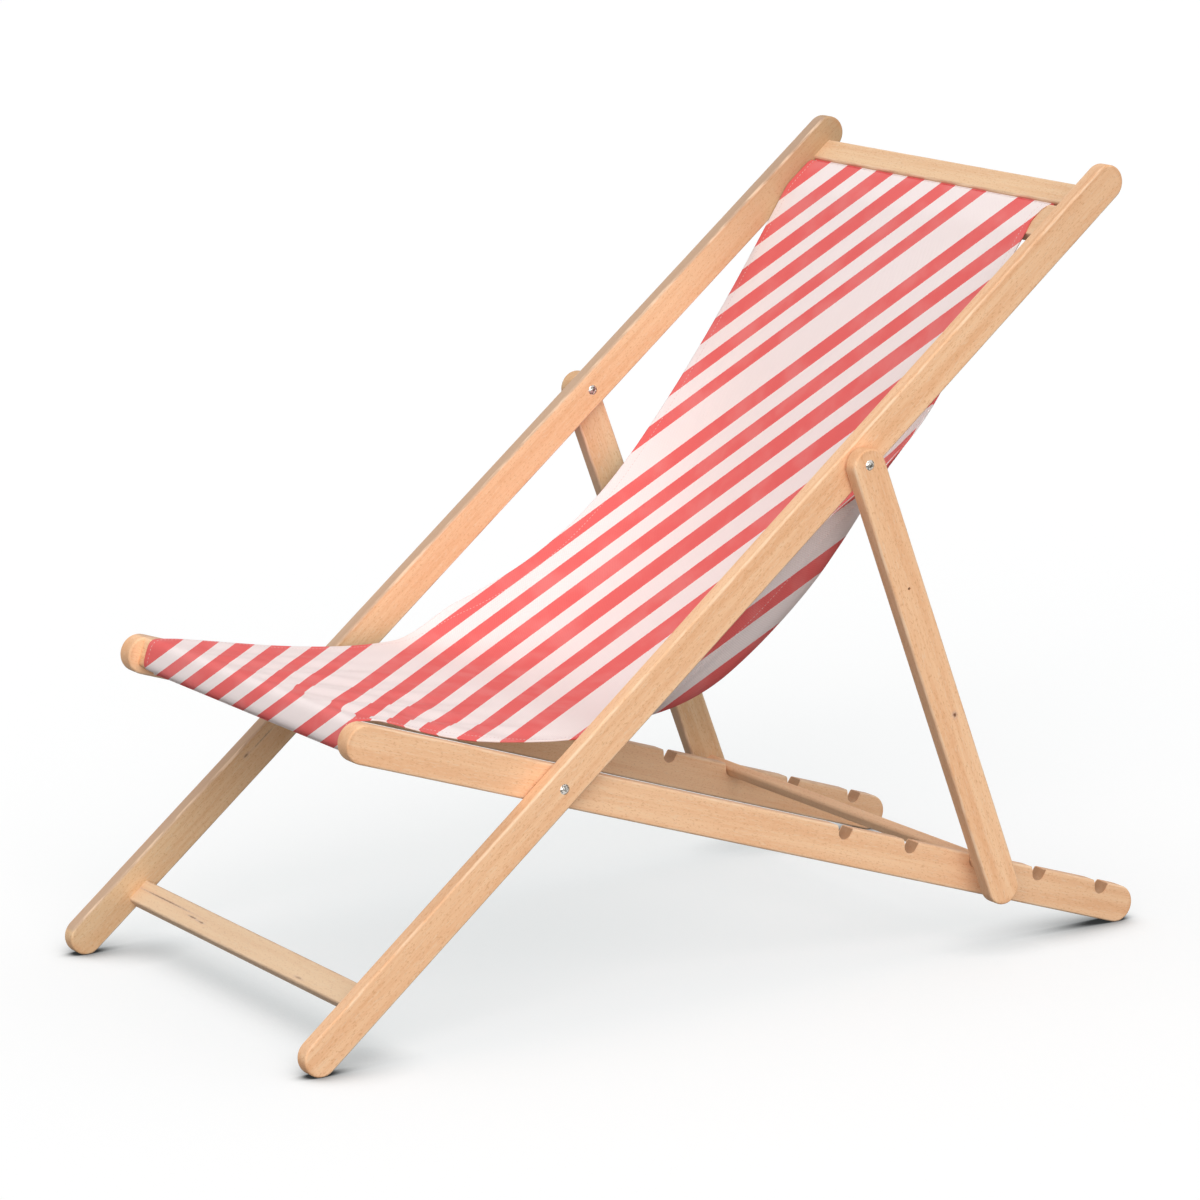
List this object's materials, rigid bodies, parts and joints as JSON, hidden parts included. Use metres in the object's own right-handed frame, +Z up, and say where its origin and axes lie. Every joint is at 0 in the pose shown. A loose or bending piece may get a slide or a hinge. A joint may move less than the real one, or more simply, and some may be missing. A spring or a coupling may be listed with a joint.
{
  "type": "folding deck chair",
  "caption": "Folding wooden deck chair with a striped fabric sling, a pivoting prop frame and notched seat rails.",
  "frame": {"origin": "on the floor, under the middle of the chair's bounding box, with the prop bar in the middle notch", "axes": "+X to the sitter's left, -Y to the front, +Z up"},
  "size_m": [0.5804, 1.059, 0.8461],
  "materials": {
    "beech": "satin, clear oiled beech",
    "canvas": "matt woven canvas, red and white stripes",
    "nickel_steel": "nickel-plated steel"
  },
  "bodies": {
    "seat_frame": {"seat_rail_left": "beech", "seat_rail_right": "beech", "front_crossbar": "beech", "front_hem_rod": "beech", "sling_seat": "canvas"},
    "back_frame": {"back_rail_left": "beech", "back_rail_right": "beech", "foot_crossbar": "beech", "top_crossbar_lower": "beech", "top_crossbar_upper": "beech", "top_hem_rod": "beech", "sling_back": "canvas", "seat_pivot_screw_left": "nickel_steel", "seat_pivot_screw_right": "nickel_steel", "seat_pivot_barrel_left": "nickel_steel", "seat_pivot_barrel_right": "nickel_steel", "seat_pivot_washer_left": "nickel_steel", "seat_pivot_washer_right": "nickel_steel", "prop_pivot_screw_left": "nickel_steel", "prop_pivot_screw_right": "nickel_steel", "prop_pivot_barrel_left": "nickel_steel", "prop_pivot_barrel_right": "nickel_steel", "prop_pivot_washer_left": "nickel_steel", "prop_pivot_washer_right": "nickel_steel"},
    "prop_frame": {"prop_leg_left": "beech", "prop_leg_right": "beech", "prop_bar": "beech"}
  },
  "joints": [
    {"name": "back_raise", "type": "hinge", "parent": "seat_frame", "child": "back_frame", "pos_m": [0, -0.22504, 0.25652], "axis": [1, 0, 0], "range_deg": [0, 30]},
    {"name": "prop_swing", "type": "hinge", "parent": "back_frame", "child": "prop_frame", "pos_m": [0, 0.13619, 0.55799], "axis": [-1, 0, 0], "range_deg": [0, 9]}
  ],
  "couplings": [
    {"joint": "prop_swing", "follows": "back_raise", "ratio": 0.3}
  ]
}
